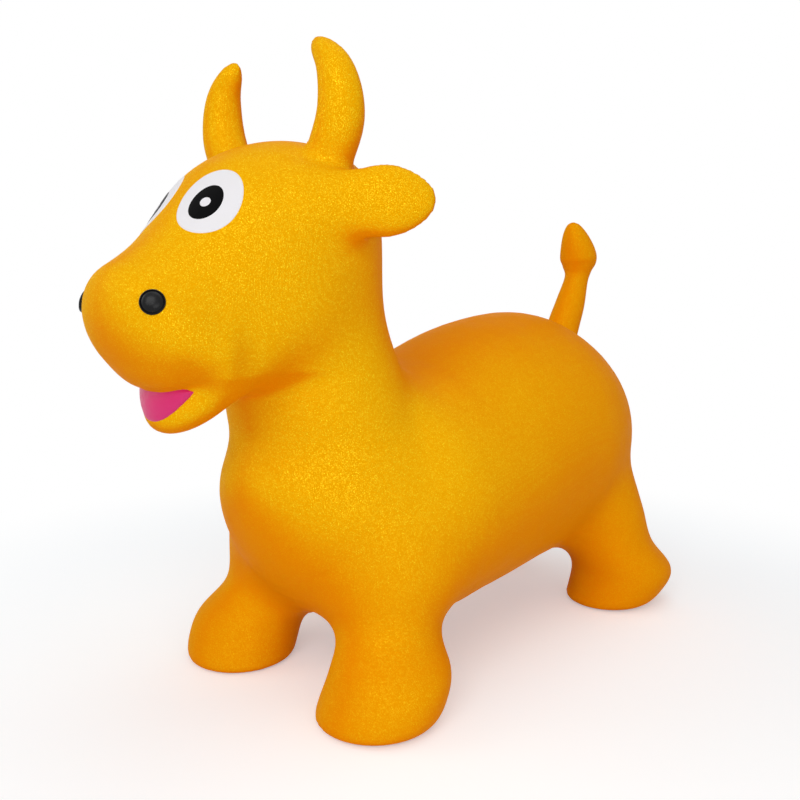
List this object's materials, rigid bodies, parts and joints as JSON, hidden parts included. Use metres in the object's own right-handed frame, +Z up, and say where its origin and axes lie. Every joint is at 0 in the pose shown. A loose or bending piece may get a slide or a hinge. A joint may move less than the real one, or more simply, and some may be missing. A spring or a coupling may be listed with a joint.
{
  "type": "inflatable ride-on animal",
  "caption": "Inflatable bouncy ride-on cow for a toddler: hollow glitter PVC body, flexing head, feet, ears and tail, horns as grips, air valve in the belly.",
  "frame": {"origin": "on the floor, below the middle of the animal's bounding box", "axes": "+Z up, -Y forwards to the snout, +X to the animal's left"},
  "size_m": [0.2964, 0.6149, 0.5085],
  "materials": {
    "gold_pvc": "soft translucent-looking gold PVC with fine glitter, satin",
    "white_paint": "satin printed paint",
    "black_paint": "satin printed paint",
    "pink_paint": "satin printed paint",
    "valve_pvc": "soft gold PVC"
  },
  "bodies": {
    "torso": {"torso_skin": "gold_pvc", "valve_seat": "valve_pvc"},
    "head": {"head_skin": "gold_pvc", "left_eye_white": "white_paint", "right_eye_white": "white_paint", "left_eye_glint": "white_paint", "right_eye_glint": "white_paint", "left_pupil": "black_paint", "right_pupil": "black_paint", "left_nostril": "black_paint", "right_nostril": "black_paint", "mouth": "pink_paint"},
    "plug": {"valve_plug": "valve_pvc"},
    "tail": {"tail_skin": "gold_pvc"},
    "front_left_foot": {"front_left_foot": "gold_pvc"},
    "rear_left_foot": {"rear_left_foot": "gold_pvc"},
    "left_horn": {"left_horn": "gold_pvc"},
    "left_ear": {"left_ear": "gold_pvc"},
    "front_right_foot": {"front_right_foot": "gold_pvc"},
    "rear_right_foot": {"rear_right_foot": "gold_pvc"},
    "right_horn": {"right_horn": "gold_pvc"},
    "right_ear": {"right_ear": "gold_pvc"}
  },
  "joints": [
    {"name": "head_nod", "type": "hinge", "parent": "torso", "child": "head", "pos_m": [0, -0.1302, 0.28028], "axis": [1, 0, 0], "range_deg": [-6, 6], "stiffness_Nm_per_rad": 40},
    {"name": "tail_swing", "type": "hinge", "parent": "torso", "child": "tail", "pos_m": [0, 0.26257, 0.28819], "axis": [1, 0, 0], "range_deg": [-18, 18], "stiffness_Nm_per_rad": 0.8},
    {"name": "plug_pull", "type": "slide", "parent": "torso", "child": "plug", "axis": [0, 0, -1], "range_m": [0, 0.018]},
    {"name": "front_left_foot_splay", "type": "hinge", "parent": "torso", "child": "front_left_foot", "pos_m": [0.07612, -0.11114, 0.069], "axis": [-0.866, -0.5, 0], "range_deg": [-4, 9], "stiffness_Nm_per_rad": 30},
    {"name": "rear_left_foot_splay", "type": "hinge", "parent": "torso", "child": "rear_left_foot", "pos_m": [0.08832, 0.21148, 0.069], "axis": [0.7071, -0.7071, 0], "range_deg": [-4, 9], "stiffness_Nm_per_rad": 30},
    {"name": "left_horn_bend", "type": "hinge", "parent": "head", "child": "left_horn", "pos_m": [0.06303, -0.15129, 0.43625], "axis": [1, 0, 0], "range_deg": [-15, 15], "stiffness_Nm_per_rad": 1},
    {"name": "left_ear_flap", "type": "hinge", "parent": "head", "child": "left_ear", "pos_m": [0.08632, -0.15467, 0.39018], "axis": [-0.6837, 0.7298, 0], "range_deg": [-18, 22], "stiffness_Nm_per_rad": 0.5},
    {"name": "front_right_foot_splay", "type": "hinge", "parent": "torso", "child": "front_right_foot", "pos_m": [-0.07612, -0.11114, 0.069], "axis": [-0.866, 0.5, 0], "range_deg": [-4, 9], "stiffness_Nm_per_rad": 30},
    {"name": "rear_right_foot_splay", "type": "hinge", "parent": "torso", "child": "rear_right_foot", "pos_m": [-0.08832, 0.21148, 0.069], "axis": [0.7071, 0.7071, 0], "range_deg": [-4, 9], "stiffness_Nm_per_rad": 30},
    {"name": "right_horn_bend", "type": "hinge", "parent": "head", "child": "right_horn", "pos_m": [-0.06303, -0.15129, 0.43625], "axis": [1, 0, 0], "range_deg": [-15, 15], "stiffness_Nm_per_rad": 1},
    {"name": "right_ear_flap", "type": "hinge", "parent": "head", "child": "right_ear", "pos_m": [-0.08632, -0.15467, 0.39018], "axis": [-0.6837, -0.7298, 0], "range_deg": [-18, 22], "stiffness_Nm_per_rad": 0.5}
  ]
}
